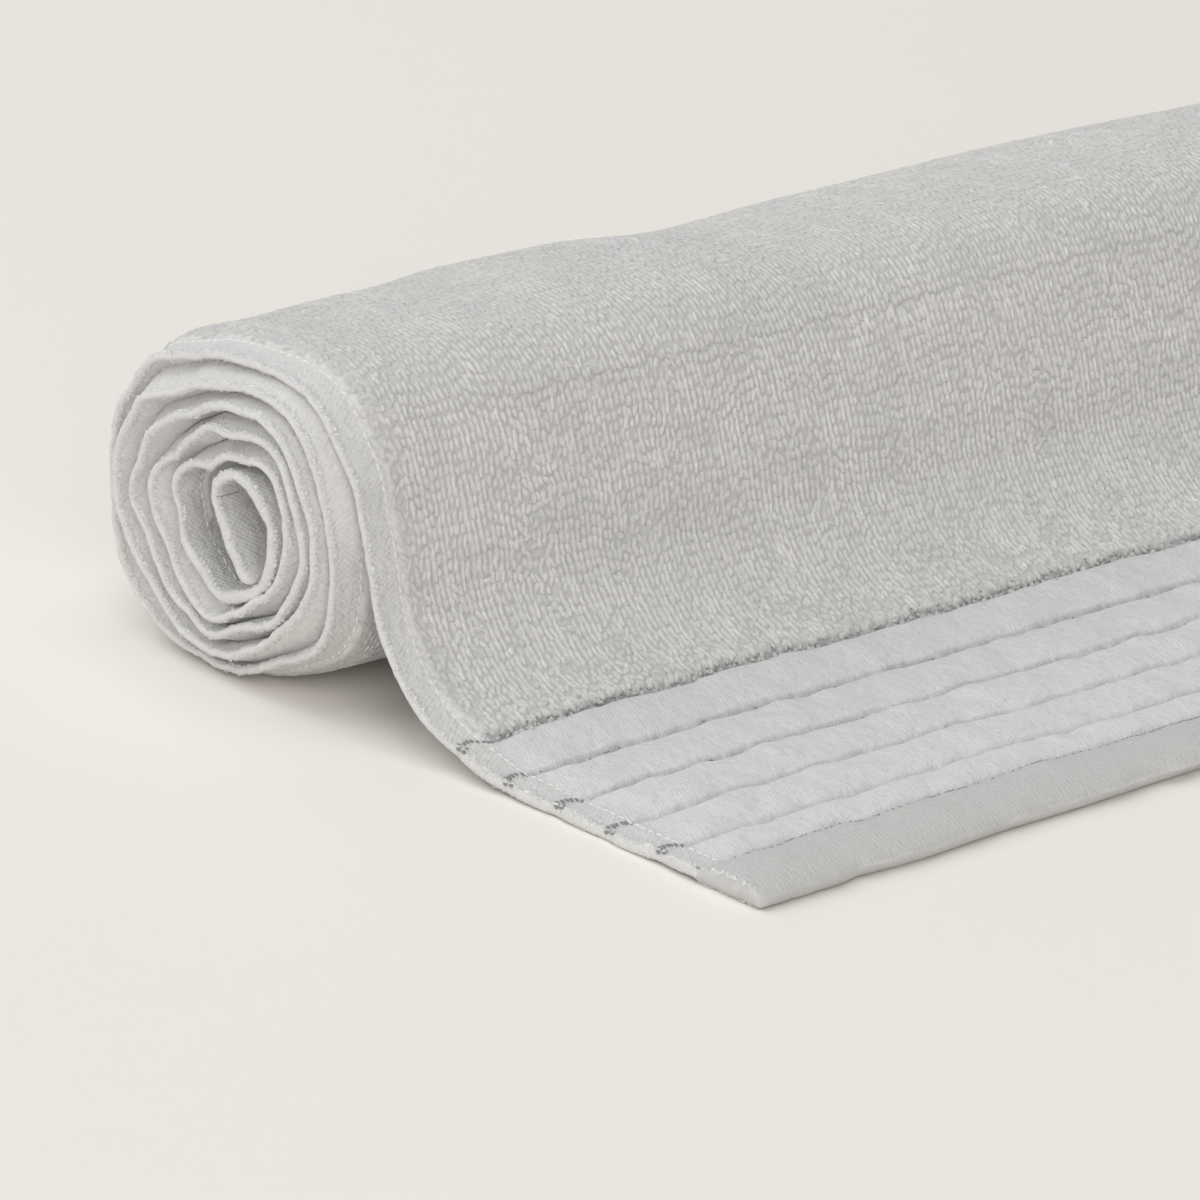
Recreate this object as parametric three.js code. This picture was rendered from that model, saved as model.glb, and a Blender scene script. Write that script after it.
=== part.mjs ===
import * as THREE from 'three';

// A terry bath towel, rolled up around itself, with its outer end laid out flat in front.
// Millimetres, +Z up. X runs along the roll, -Y is where the flat end lies, Z = 0 is the table.
// A place on the cloth is given by two lengths: "along" starts at the hem of the flat end and
// ends at the hem inside the roll; "across" starts at the near selvedge.

// Cut width of the cloth, and its hems
const clothWidth = 700;
const sideHemWidth = 11;
const endHemWidth = 25;

// How thick each zone of the cloth is
const pileLoose = 5.0;
const pileWound = 4.6;
const bandThickness = 3.9;
const lineThickness = 2.5;
const sideHemThickness = 2.3;
const endHemThickness = 6.2;

// Woven border: the sunk lines, as distances from the outer edge of either end hem
const borderLines = [endHemWidth, 41, 62, 83, 104, 124.5];
const lineHalfWidth = 1.6;
const borderDepth = borderLines[borderLines.length - 1];

// The flat end, seen from the side: how far back from its hem, and how high its underside is
const flatEnd = [
  { back: 0, lift: 0 },
  { back: 24.5, lift: 0 },
  { back: 49, lift: 0 },
  { back: 74, lift: 0 },
  { back: 95.5, lift: 0.5 },
  { back: 112, lift: 2.6 },
  { back: 128, lift: 6.9 },
  { back: 141, lift: 12.8 },
  { back: 152, lift: 22 },
  { back: 160, lift: 33.5 },
];

// The roll: its middle, and how far from it the cloth runs in each turn. The columns are the
// directions of the roll's soft corners and of its flatter sides, as parts of a turn.
const rollMiddle = { back: 218.7, up: 47.6 };
const directions = {
  front: 0.03, frontUp: 0.16, up: 0.29, backUp: 0.4,
  back: 0.5, backDown: 0.6, down: 0.72, frontDown: 0.9,
};
const turns = [
  { front: 52.5, frontUp: 52.9, up: 47.4, backUp: 57.8,
    back: 59.1, backDown: 56.2, down: 47.3, frontDown: 45.6 },
  { front: 45.1, frontUp: 45.4, up: 40.2, backUp: 47.4,
    back: 50.4, backDown: 44.4, down: 39.8, frontDown: 38.4 },
  { front: 39.3, frontUp: 39.6, up: 34.1, backUp: 37.3,
    back: 41.9, backDown: 36.1, down: 33.8, frontDown: 32.3 },
  { front: 33.6, frontUp: 33.8, up: 28.4, backUp: 29.0,
    back: 32.9, backDown: 28.9, down: 28.0, frontDown: 26.2 },
  { front: 27.1, frontUp: 27.9, up: 21.4, backUp: 20.9,
    back: 22.2, backDown: 19.3, down: 21.0, frontDown: 20.4 },
];

// The inner end, from the last whole turn over its top and down into the middle
const innerEnd = [
  { back: 198, up: 51.5 },
  { back: 202.6, up: 58.9 },
  { back: 209.2, up: 63.2 },
  { back: 215.2, up: 64.6 },
  { back: 220.4, up: 62.6 },
  { back: 223.4, up: 58.4 },
  { back: 222.8, up: 54 },
  { back: 219.6, up: 49.6 },
  { back: 217.2, up: 45.4 },
  { back: 213.9, up: 41.2 },
  { back: 209.3, up: 37.7 },
];

// The near end of the roll isn't square: how far the cloth stands out past the flat end's corner
const standOut = [
  { along: 0, out: 0 },
  { along: 80, out: 0.2 },
  { along: 120, out: 2.0 },
  { along: 140, out: 2.8 },
  { along: 165, out: 2.0 },
  { along: 200, out: 1.6 },
  { along: 351, out: 4.8 },
  { along: 470, out: 7.4 },
  { along: 740, out: 10.5 },
];

// Swells and dips along the roll, measured on the outer turn, and the turn where they die out
const swells = [
  { across: 0, rise: 0 },
  { across: 90, rise: 1.9 },
  { across: 140, rise: 0.6 },
  { across: 195, rise: -1.7 },
  { across: 255, rise: 0.2 },
  { across: 350, rise: 1.2 },
  { across: 490, rise: -1.1 },
  { across: 610, rise: 0.7 },
  { across: 700, rise: 0 },
];
const swellLastTurn = 7;

// Puckers of the side hem: the turn they are in, and how far they push the edge out or in
const puckers = [
  { turn: 0.08, push: 1.4 }, { turn: 0.38, push: 1.3 }, { turn: 0.5, push: -0.9 },
  { turn: 0.6, push: 1.5 }, { turn: 0.68, push: -1.0 }, { turn: 0.81, push: 1.0 },
  { turn: 0.88, push: -0.9 }, { turn: 0.94, push: 1.0 },
  { turn: 1.07, push: -1.2 }, { turn: 1.17, push: 0.9 }, { turn: 1.3, push: -1.0 },
  { turn: 1.41, push: 1.2 }, { turn: 1.48, push: -0.6 }, { turn: 1.56, push: 1.6 },
  { turn: 1.67, push: -1.5 }, { turn: 1.79, push: 1.4 }, { turn: 1.87, push: -1.1 },
  { turn: 2.04, push: -0.8 }, { turn: 2.19, push: 1.3 }, { turn: 2.33, push: -1.4 },
  { turn: 2.44, push: 1.6 }, { turn: 2.57, push: -1.4 }, { turn: 2.67, push: -1.4 },
  { turn: 2.77, push: 1.6 }, { turn: 2.86, push: -1.0 },
  { turn: 3.0, push: 0.8 }, { turn: 3.18, push: 1.3 }, { turn: 3.24, push: -1.2 },
  { turn: 3.36, push: -1.4 }, { turn: 3.47, push: 1.8 }, { turn: 3.54, push: -1.3 },
  { turn: 3.74, push: 1.6 }, { turn: 3.86, push: -0.9 },
  { turn: 4.13, push: 1.2 }, { turn: 4.23, push: -1.4 }, { turn: 4.33, push: -1.3 },
  { turn: 4.44, push: 2.0 }, { turn: 4.53, push: -1.6 }, { turn: 4.79, push: 1.4 },
];
const puckerHalfLength = 7.5;
const puckerReach = 17;
const farPuckerShare = -0.45;

// How finely the cloth is stepped: along the flat end, in the outer and inner turns, and across
const stepFlat = 14;
const stepOuterTurn = 9.5;
const stepInnerTurn = 7;
const stepsAtLine = [-lineHalfWidth, 0, lineHalfWidth];
const stepsAtHemEdge = [0, 0.9, 3.4];
const acrossSteps = [0, 1.2, 10.5, 13.5, 38, 120, 240, 420, 662, 686.5, 689.5, 698.8, 700];

const smooth = (from, to, value) => THREE.MathUtils.smoothstep(value, from, to);
const blend = THREE.MathUtils.lerp;

// Reads a table as a curve: its column "value" where its column "key" is "at"
function readTable(rows, key, value, at) {
  const next = rows.findIndex((row) => row[key] > at);
  if (next === 0) return rows[0][value];
  if (next < 0) return rows[rows.length - 1][value];
  const before = rows[next - 1];
  const after = rows[next];
  return blend(before[value], after[value], smooth(before[key], after[key], at));
}

// The middle of the cloth's thickness, seen from the side, from the flat end to the inner hem
function makeClothLine() {
  const points = flatEnd.map(({ back, lift }) => new THREE.Vector3(0, back, lift + pileLoose / 2));
  turns.forEach((radii) => {
    Object.entries(radii).forEach(([name, radius]) => {
      const angle = 2 * Math.PI * directions[name];
      const back = rollMiddle.back - radius * Math.cos(angle);
      points.push(new THREE.Vector3(0, back, rollMiddle.up + radius * Math.sin(angle)));
    });
  });
  innerEnd.forEach(({ back, up }) => points.push(new THREE.Vector3(0, back, up)));
  const line = new THREE.CatmullRomCurve3(points, false, 'centripetal');
  line.arcLengthDivisions = 4000;
  return line;
}

const clothLine = makeClothLine();
const clothLength = clothLine.getLength();

// Where the whole turns end and the inner end starts, and how much turn it adds per millimetre
const innerEndStart = clothLength - 80;
const innerEndTurning = 0.01;

// Which turn of the roll each place along the cloth is in: 0 where the cloth has left the table
// and stands level with the roll's middle, 1.5 half way round the second turn
function makeTurnRows() {
  const rows = [];
  const first = 170;
  let turn = 0;
  for (let along = first; along < clothLength; along += 2) {
    const point = clothLine.getPointAt(along / clothLength);
    const angle = Math.atan2(point.z - rollMiddle.up, rollMiddle.back - point.y);
    const part = angle / (2 * Math.PI);
    const isInner = along > innerEndStart;
    turn = isInner ? turn + 2 * innerEndTurning : part + Math.round(turn - part);
    rows.push({ along, turn });
  }
  return rows;
}

const turnRows = makeTurnRows();
const placedPuckers = puckers.map(({ turn, push }) => (
  { push, along: readTable(turnRows, 'turn', 'along', turn) }
));

// How much a place along the cloth belongs to the part that lies on the table, 1 to 0
const flatness = (along) => 1 - smooth(96, 175, along);

// How thick the cloth is at one place, from its zones
function thicknessAt(along, across) {
  const fromHem = Math.min(along, clothLength - along);
  const fromSide = Math.min(across, clothWidth - across);
  if (fromHem < endHemWidth - lineHalfWidth) {
    const roundEdge = blend(0.35, 1, Math.sqrt(smooth(0, 3.4, fromHem)));
    return endHemThickness * roundEdge * blend(0.72, 1, smooth(0, 6, fromSide));
  }
  if (fromSide <= sideHemWidth) return sideHemThickness * blend(0.6, 1, smooth(0, 1.2, fromSide));
  const pile = blend(pileWound, pileLoose, flatness(along));
  const zone = fromHem < borderDepth ? bandThickness : pile;
  const nearest = Math.min(...borderLines.map((place) => Math.abs(fromHem - place)));
  return blend(lineThickness, zone, smooth(0, lineHalfWidth, nearest));
}

// How far the puckers push the side hem at one place along the cloth
function puckerAt(along) {
  return placedPuckers.reduce((sum, pucker) => {
    const distance = (along - pucker.along) / puckerHalfLength;
    return sum + pucker.push * Math.exp(-distance * distance);
  }, 0);
}

// The two faces of the cloth at one place: the one that shows first, then its back
function facesAt(along, across) {
  const middle = clothLine.getPointAt(along / clothLength);
  const tangent = clothLine.getTangentAt(along / clothLength);
  const normal = new THREE.Vector3(0, -tangent.z, tangent.y);
  const turn = readTable(turnRows, 'along', 'turn', along);
  const thickness = thicknessAt(along, across);

  const fromSide = Math.min(across, clothWidth - across);
  const share = fromSide === across ? 1 : farPuckerShare;
  const pucker = share * puckerAt(along) * Math.exp(-((fromSide / puckerReach) ** 2));
  const wound = smooth(0, 0.15, turn) * (1 - turn / swellLastTurn);
  const swell = wound * readTable(swells, 'across', 'rise', across);

  middle.addScaledVector(normal, pucker + swell);
  middle.x = across - readTable(standOut, 'along', 'out', along);
  middle.z += flatness(along) * (thickness - pileLoose) / 2;
  return [1, -1].map((side) => {
    const face = middle.clone().addScaledVector(normal, side * thickness / 2);
    face.z = Math.max(0, face.z);
    return face;
  });
}

// The places along the cloth where a row of points goes: close together at the hems' edges and
// at the sunk lines, and wider elsewhere
function makeAlongSteps() {
  const places = [];
  stepsAtHemEdge.forEach((step) => places.push(step, clothLength - step));
  borderLines.forEach((place) => {
    stepsAtLine.forEach((step) => places.push(place + step, clothLength - place - step));
  });
  const fixed = [...places].sort((a, b) => a - b);
  const all = [fixed[0]];
  fixed.slice(1).forEach((place) => {
    const start = all[all.length - 1];
    const part = smooth(0, clothLength, (start + place) / 2);
    const wide = start < borderDepth ? stepFlat : blend(stepOuterTurn, stepInnerTurn, part);
    const count = Math.max(1, Math.round((place - start) / wide));
    for (let i = 1; i <= count; i += 1) all.push(start + (place - start) * i / count);
  });
  return all;
}

// Joins the rows of points into one closed skin: each row runs across the face that shows and
// comes back across the other face, and the first and last rows are closed by strips
function makeClothGeometry() {
  const alongSteps = makeAlongSteps();
  const columns = acrossSteps.length;
  const ring = 2 * columns;
  const positions = [];
  alongSteps.forEach((along) => {
    const faces = acrossSteps.map((across) => facesAt(along, across));
    faces.forEach(([shown]) => positions.push(shown.x, shown.y, shown.z));
    faces.reverse().forEach(([, hidden]) => positions.push(hidden.x, hidden.y, hidden.z));
  });

  const triangles = [];
  const addQuad = (a, b, c, d) => triangles.push(a, b, c, a, c, d);
  for (let row = 0; row < alongSteps.length - 1; row += 1) {
    for (let place = 0; place < ring; place += 1) {
      const next = (place + 1) % ring;
      const start = row * ring;
      addQuad(start + place, start + next, start + ring + next, start + ring + place);
    }
  }
  const lastRow = (alongSteps.length - 1) * ring;
  for (let place = 0; place < columns - 1; place += 1) {
    const opposite = ring - 1 - place;
    addQuad(place, opposite, opposite - 1, place + 1);
    addQuad(lastRow + place, lastRow + place + 1, lastRow + opposite - 1, lastRow + opposite);
  }

  const geometry = new THREE.BufferGeometry();
  geometry.setAttribute('position', new THREE.Float32BufferAttribute(positions, 3));
  geometry.setIndex(triangles);
  geometry.computeVertexNormals();
  return geometry;
}

// White cotton terry: matt, a very light neutral grey
const terry = new THREE.MeshStandardMaterial({ color: 0xe4e4e6, roughness: 0.95, metalness: 0 });

const towel = new THREE.Mesh(makeClothGeometry(), terry);
towel.name = 'towel';
towel.geometry.computeBoundingBox();
const box = towel.geometry.boundingBox;
towel.position.set(-(box.min.x + box.max.x) / 2, -(box.min.y + box.max.y) / 2, -box.min.z);

const rolledTowel = new THREE.Group();
rolledTowel.add(towel);

export default rolledTowel;
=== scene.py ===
"""A rolled terry bath towel, its woven border laid out in front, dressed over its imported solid."""
import math
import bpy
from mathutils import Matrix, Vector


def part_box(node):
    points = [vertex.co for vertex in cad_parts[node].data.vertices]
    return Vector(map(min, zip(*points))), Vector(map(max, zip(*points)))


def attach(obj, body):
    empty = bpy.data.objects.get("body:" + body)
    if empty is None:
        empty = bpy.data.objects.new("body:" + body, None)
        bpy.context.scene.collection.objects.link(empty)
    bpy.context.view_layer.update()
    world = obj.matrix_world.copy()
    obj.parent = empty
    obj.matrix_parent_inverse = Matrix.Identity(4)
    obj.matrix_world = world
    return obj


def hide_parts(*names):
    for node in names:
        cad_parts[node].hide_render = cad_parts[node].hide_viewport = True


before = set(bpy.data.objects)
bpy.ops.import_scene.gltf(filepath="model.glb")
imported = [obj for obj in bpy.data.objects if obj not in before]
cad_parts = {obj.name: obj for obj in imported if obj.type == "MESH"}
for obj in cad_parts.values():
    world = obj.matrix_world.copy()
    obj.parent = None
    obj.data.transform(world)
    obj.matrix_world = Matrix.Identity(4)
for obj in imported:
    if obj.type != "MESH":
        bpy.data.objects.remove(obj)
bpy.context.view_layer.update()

from types import SimpleNamespace

import bpy
import numpy as np
from mathutils import Matrix, Vector

bl_info = {
    "name": "Rolled Bath Towel",
    "version": (1, 0, 0),
    "blender": (4, 5, 0),
    "location": "3D View > Sidebar > Towel",
    "description": "Builds a rolled terry bath towel with its woven border laid out in front",
    "category": "Add Mesh",
}

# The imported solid's box, before anything is added
towel_low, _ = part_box("towel")

# Tables of the cloth's form are in millimetres, as on a tailor's tape; meshes are in metres.
# A place on the cloth is given by "along", from the hem of the flat end to the hem inside the
# roll, and "across", from the near selvedge.
MM = 0.001

CLOTH_WIDTH = 700.0
SIDE_HEM = 11.0
END_HEM = 25.0
PILE_LOOSE = 5.0
PILE_WOUND = 4.6
BAND_THICK = 3.9
LINE_THICK = 2.2
SIDE_HEM_THICK = 2.3
END_HEM_THICK = 7.2
END_HEM_FULLEST = 14.0
INNER_HEM_THICK = 4.2
CORNER_ROUND = 3.0
# The step up onto an end hem, and how far in from a side hem the pile and the bands are full
HEM_STEP = 3.5
PILE_SLOPE = 1.2
BAND_SLOPE = 14.0
# The border's bands are no thicker than this at a side hem, and puff up by this between lines
BAND_THICK_AT_SIDE = 3.0
BAND_PUFF = 1.05

# Sunk lines of the woven border, as distances from the outer edge of either end hem
BORDER_LINES = (END_HEM, 41.0, 62.0, 83.0, 104.0, 124.5)
BORDER_DEPTH = BORDER_LINES[-1]
# Half width and darkness of each line's grey: partly the grey thread, partly painted shade of the sunk
# groove
LINE_GREY_AND_SHADE = ((1.6, 0.7), (1.5, 0.45), (1.7, 0.55), (1.9, 0.65), (2.0, 0.7), (2.6, 0.8))
LINE_HALF = 2.1
# How far the ground between the loops lies below the pile's mean height, and how deep loops and
# threads are rooted in the cloth
SUNK_GROUND = 0.35
ROOTED = 0.2
# Grey threads that show in each line: their spacing, the share that shows, their spread, and how
# far from the line they lie. Those of the first line show on the edge of the end hem.
THREADS_IN_LINES = (
    (1.1, 0.6, 0.2, -3.2), (1.4, 0.25, 0.25, 0), (1.2, 0.45, 0.3, 0), (1.0, 0.6, 0.3, 0),
    (0.9, 0.65, 0.35, 0), (0.5, 0.8, 0.8, 0),
)
# Grey marks where a line crosses a side hem: from the side, along from the line, half width and
# half length
HEM_MARKS = (
    (0.8, -1.9, 0.9, 1.1), (0.8, 0.4, 0.9, 1.1), (2.3, -0.8, 0.8, 1.0), (2.4, 1.6, 0.8, 1.0),
    (4.1, 1.5, 0.75, 1.1), (5.7, 1.8, 0.75, 1.1), (7.2, 1.8, 0.75, 1.0), (8.7, 1.4, 0.7, 0.9),
    (10.1, 0.7, 0.6, 0.8),
)
# A loop's half width and half length, as shares of its pitch, and how much lower loops are on
# the roll, where they are pressed
LOOP_HALF_WIDTH = 0.52
LOOP_HALF_LENGTH = 0.70
PRESSED = 0.42
# Loops that stray over the border: least width, length and height in metres, and how much more
# each may be, as a share
STRAY_LOOP_SIZES = ((0.0005, 0.4), (0.0009, 0.6), (0.0008, 0.5))
# Ribs of the selvedge: usual width, length and height in metres, the spread of each as a share,
# and its least and most
RIB_SIZES = ((0.0008, 0.3, 0.5, 1.5), (0.00055, 0.2, 0.6, 1.5), (0.00042, 0.3, 0.4, 1.7))
# Width, length and height of a stitch and of a thread in the inner seam, in metres
STITCH_SIZE = (0.00030, 0.0015, 0.00034)
SEAM_THREAD_SIZE = (0.00028, 0.0010, 0.0002)
# How far the stitches of a side hem and of an end hem lie in from where the hem ends
SIDE_STITCH_INSET = 1.1
END_STITCH_INSET = 0.9
# How far the seam of the inner end hem lies from that hem's edge
INNER_SEAM = 28.3

# Bumps of the cloth: height, size across, size along, seed
BAND_FULLNESS = ((0.35, 24.0, 15.0, 13),)
BAND_TUCKS = ((0.5, 9.0, 9.0, 11), (0.42, 4.6, 5.0, 12))
HEM_PULLS = ((0.34, 9.0, 11.0, 21), (0.16, 4.2, 16.0, 22))
LOOP_PATCHES = ((1.0, 11.0, 11.0, 61), (0.5, 4.5, 4.5, 62))

# The flat end seen from the side: back, lift of the underside
FLAT_END = (
    (0, 0), (24.5, 0), (49, 0), (74, 0), (95.5, 0.5),
    (112, 2.6), (128, 6.9), (141, 12.8), (152, 22), (160, 33.5),
)
# Between these places along the cloth it passes from lying flat to being part of the roll,
# and from the last one its turns are counted
LIFT_OFF = (96, 175)
TURNS_FROM = 170.0

# The roll: directions as parts of a turn, and the cloth's distance from the middle in each turn
ROLL_BACK = 218.7
ROLL_UP = 47.6
# front, front up, up, back up, back, back down, down, front down
DIRECTIONS = (0.03, 0.16, 0.29, 0.40, 0.50, 0.60, 0.72, 0.90)
TURNS = (
    (52.5, 52.9, 47.4, 57.8, 59.1, 56.2, 47.3, 45.6),
    (45.1, 45.4, 40.2, 47.4, 50.4, 44.4, 39.8, 38.4),
    (39.3, 39.6, 34.1, 37.3, 41.9, 36.1, 33.8, 32.3),
    (33.6, 33.8, 28.4, 29.0, 32.9, 28.9, 28.0, 26.2),
    (27.1, 27.9, 21.4, 20.9, 22.2, 19.3, 21.0, 20.4),
)
# The inner end, from its last whole turn to the end hem in the middle: back, up
INNER_END = (
    (198.0, 51.5), (202.6, 58.9), (209.2, 63.2), (215.2, 64.6), (220.4, 62.6), (223.4, 58.4),
    (222.8, 54.0), (219.6, 49.6), (216.6, 44.4), (212.2, 38.6), (206.8, 33.4),
)

# How far the cloth stands out past the flat end's corner: along, out
STAND_OUT = (
    (0, 0), (80, 0.2), (120, 2.0), (140, 2.8), (165, 2.0), (200, 1.6),
    (351, 4.8), (470, 7.4), (740, 10.5),
)
MOST_OUT = STAND_OUT[-1][1]

# Swells and dips along the roll: across, rise
SWELLS = (
    (0, 0), (16, 1.5), (60, 2.1), (140, 0.6), (195, -1.7), (255, 0.2),
    (350, 1.2), (490, -1.1), (610, 0.7), (700, 0),
)
# The turn in which swells and bulges would die away, and how much cloth makes a turn at the
# inner end
SWELL_LAST_TURN = 7
INNER_TURN_LENGTH = 100
# How far the loosely wound roll bulges past its tight hems: across, rise; and in which parts of
# each turn: part of the turn, share
BULGES = (
    (0, 0), (4, 0.2), (20, 2.9), (35, 2.2), (80, 2.8), (112, 5.4), (156, 5.4),
    (200, 3.4), (255, 3.0), (480, 2.6), (660, 2.6), (692, 0.6), (700, 0),
)
BULGE_SHARE = (
    (0, 0.1), (0.1, 0.5), (0.33, 1.0), (0.5, 0.6), (0.62, 0.15), (0.75, 0.15), (0.87, 0.6),
    (1.0, 0.1),
)

# How deep in from the sides the turns begin to fill the room between them, and where they meet
FILLED_FROM = (0.5, 9.0)
FILL_GAP = 0.06

# How far the flat end's side edges stand off the table: along, lift
EDGE_LIFT = ((0, 0), (21, 0), (27, 1.4), (38, 1.0), (54, 0.1), (85, 0.3), (105, 0))
EDGE_LIFT_REACH = 11.0

# Waves of the puckered side hem: the turn they are in, and how far they push the edge outward
WAVES = (
    (0.00, 0.0), (0.02, -0.4), (0.08, 1.3), (0.13, -0.4), (0.22, 0.9), (0.30, 1.8), (0.36, -0.2),
    (0.38, 0.8), (0.42, -1.1), (0.45, -0.3), (0.52, -1.7), (0.56, -0.2), (0.60, 0.3), (0.72, -2.1),
    (0.79, -0.6), (0.85, -1.8), (0.93, 1.8), (1.06, -1.5), (1.16, 1.4), (1.22, 2.1), (1.31, 1.3),
    (1.36, -1.8), (1.41, 1.0), (1.46, 1.2), (1.52, -0.5), (1.62, -2.3), (1.69, 0.0), (1.77, 1.1),
    (1.82, -0.8), (1.89, -2.1), (1.99, 1.1), (2.09, -0.3), (2.15, 1.2), (2.21, 2.2), (2.28, 1.9),
    (2.33, -0.6), (2.38, 0.4), (2.43, 1.4), (2.47, -0.5), (2.51, 0.2), (2.56, -2.6), (2.61, -1.0),
    (2.65, -0.5), (2.68, -1.3), (2.73, 1.0), (2.79, -1.5), (2.86, 0.1), (2.93, 0.3), (3.00, 1.9),
    (3.09, 0.8), (3.15, 1.8), (3.24, -0.7), (3.29, 0.9), (3.39, -1.0), (3.47, 1.0), (3.55, -2.2),
    (3.62, -0.6), (3.73, 1.5), (3.80, -0.9), (3.87, -1.6), (3.98, 0.2), (4.12, 2.0), (4.21, -1.4),
    (4.26, -0.5), (4.32, -2.4), (4.38, 0.6), (4.44, 2.0), (4.51, -2.9), (4.58, 0.5), (4.66, -1.8),
    (4.76, 0.6), (4.93, 1.2), (5.10, 0.0),
)
WAVE_REACH = 17.0
FAR_WAVE_SHARE = -0.45

# The photograph's view, worked out from the roll's rings and the border's lines
PHOTO_PIXELS = 1200
FOCAL_PIXELS = 8042
SENSOR_MM = 36.0
CORNER_PIXEL = (758, 912.7)
MM_PER_PIXEL = 0.274


# Small helpers


def smoothstep(low, high, value):
    part = np.clip((value - low) / (high - low), 0, 1)
    return part * part * (3 - 2 * part)


def read_table(rows, at):
    """A table of (key, value) rows, read as a soft curve."""
    keys, values = np.array(rows, float).T
    after = np.clip(np.searchsorted(keys, at, side="right"), 1, len(keys) - 1)
    part = smoothstep(keys[after - 1], keys[after], at)
    return values[after - 1] + (values[after] - values[after - 1]) * part


def soft_noise(x, y, seed):
    """Smooth random heights from -1 to 1, one lattice step apart, alike for a given seed."""
    size = 128
    lattice = np.random.default_rng(seed).random((size, size)) * 2 - 1
    x, y = np.broadcast_arrays(np.asarray(x, float), np.asarray(y, float))
    left, low = np.floor(x).astype(int), np.floor(y).astype(int)
    u, v = smoothstep(0, 1, x - left), smoothstep(0, 1, y - low)

    def corner(i, j):
        return lattice[(left + i) % size, (low + j) % size]

    bottom = corner(0, 0) * (1 - u) + corner(1, 0) * u
    top = corner(0, 1) * (1 - u) + corner(1, 1) * u
    return bottom * (1 - v) + top * v


def uneven(rows, across, along):
    """Soft bumps of the cloth, summed from the rows of a table of bumps."""
    total = 0.0
    for height, wide, long, seed in rows:
        total = total + height * soft_noise(across / wide, along / long, seed)
    return total


def deselect():
    for obj in bpy.context.selected_objects:
        obj.select_set(False)


# The cloth's line, seen from the side


STEPS = 60


def spline(points):
    """A centripetal Catmull-Rom curve through the points."""
    points = np.array(points, float)
    ends = np.vstack([2 * points[0] - points[1], points, 2 * points[-1] - points[-2]])
    part = np.linspace(0, 1, STEPS, endpoint=False)[:, None]
    pieces = []
    for p0, p1, p2, p3 in zip(ends[:-3], ends[1:-2], ends[2:-1], ends[3:]):
        steps = (p1 - p0, p2 - p1, p3 - p2)
        before, here, after = (np.linalg.norm(step) ** 0.5 for step in steps)
        start = (p1 - p0) / before - (p2 - p0) / (before + here) + (p2 - p1) / here
        end = (p2 - p1) / here - (p3 - p1) / (here + after) + (p3 - p2) / after
        start, end = start * here, end * here
        square = -3 * p1 + 3 * p2 - 2 * start - end
        cube = 2 * p1 - 2 * p2 + start + end
        pieces.append(p1 + start * part + square * part**2 + cube * part**3)
    return np.vstack(pieces + [points[-1:]])


def make_line():
    """The middle of the cloth's thickness: its path, its normals and the turn it is in."""
    points = [(back, lift + PILE_LOOSE / 2) for back, lift in FLAT_END]
    for radii in TURNS:
        for radius, direction in zip(radii, DIRECTIONS):
            angle = 2 * math.pi * direction
            back = ROLL_BACK - radius * math.cos(angle)
            points.append((back, ROLL_UP + radius * math.sin(angle)))
    path = spline(points + list(INNER_END))
    steps = np.linalg.norm(np.diff(path, axis=0), axis=1)
    along = np.concatenate([[0], np.cumsum(steps)])
    slope = np.gradient(path, along, axis=0)
    slope /= np.linalg.norm(slope, axis=1)[:, None]
    angle = np.arctan2(path[:, 1] - ROLL_UP, ROLL_BACK - path[:, 0])
    last_turn = STEPS * (len(points) - 1)
    wound = (along > TURNS_FROM) & (np.arange(len(path)) < last_turn)
    turn = np.zeros(len(along))
    turn[wound] = np.unwrap(angle[wound]) / (2 * math.pi)
    beyond = along[last_turn:] - along[last_turn - 1]
    turn[last_turn:] = turn[last_turn - 1] + beyond / INNER_TURN_LENGTH
    return SimpleNamespace(
        along=along, back=path[:, 0], up=path[:, 1],
        normal_back=-slope[:, 1], normal_up=slope[:, 0],
        turn=turn, length=along[-1],
    )


LINE = make_line()
CLOTH_LENGTH = LINE.length
OUTER_TURN_END = float(np.interp(1.02, LINE.turn, LINE.along))
OUTER_TURN_START = float(np.interp(0.05, LINE.turn, LINE.along))
LAST_WHOLE_TURN = 4.9


def turn_at(along):
    return np.interp(along, LINE.along, LINE.turn)


def from_nearest_hem(along):
    return np.minimum(along, CLOTH_LENGTH - along)


def from_nearest_side(across):
    return np.minimum(across, CLOTH_WIDTH - across)


def is_outer_half(along):
    return along < CLOTH_LENGTH / 2


def end_hem_share(from_hem):
    """1 on an end hem and 0 off it, with a short step between."""
    return smoothstep(END_HEM, END_HEM - HEM_STEP, from_hem)


def hem_reach(across):
    """How much of the hem's wave a place across feels, with its sign on the far side."""
    share = np.where(across < CLOTH_WIDTH / 2, 1.0, FAR_WAVE_SHARE)
    return share * np.exp(-((from_nearest_side(across) / WAVE_REACH) ** 2))


def push_at(turn, across):
    """How far the hem's waves and the roll's swells push the cloth outward in a given turn."""
    wound = smoothstep(0, 0.15, turn) * (1 - turn / SWELL_LAST_TURN)
    bulge = read_table(BULGES, across) * read_table(BULGE_SHARE, turn % 1)
    swell = read_table(SWELLS, across) + bulge
    return hem_reach(across) * read_table(WAVES, turn) + wound * swell


def ring_radius(turn):
    """The cloth's distance from the roll's middle, anywhere in its whole turns."""
    wound = (LINE.turn > 0) & (LINE.turn < LAST_WHOLE_TURN)
    radius = np.hypot(LINE.back - ROLL_BACK, LINE.up - ROLL_UP)
    return np.interp(turn, LINE.turn[wound], radius[wound])


def room_to_neighbour(turn, across, side):
    """Half the way from the cloth's middle to the next turn's, on one side of it."""
    other = turn - side
    way = ring_radius(other) + push_at(other, across) - ring_radius(turn) - push_at(turn, across)
    return side * way / 2


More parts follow.
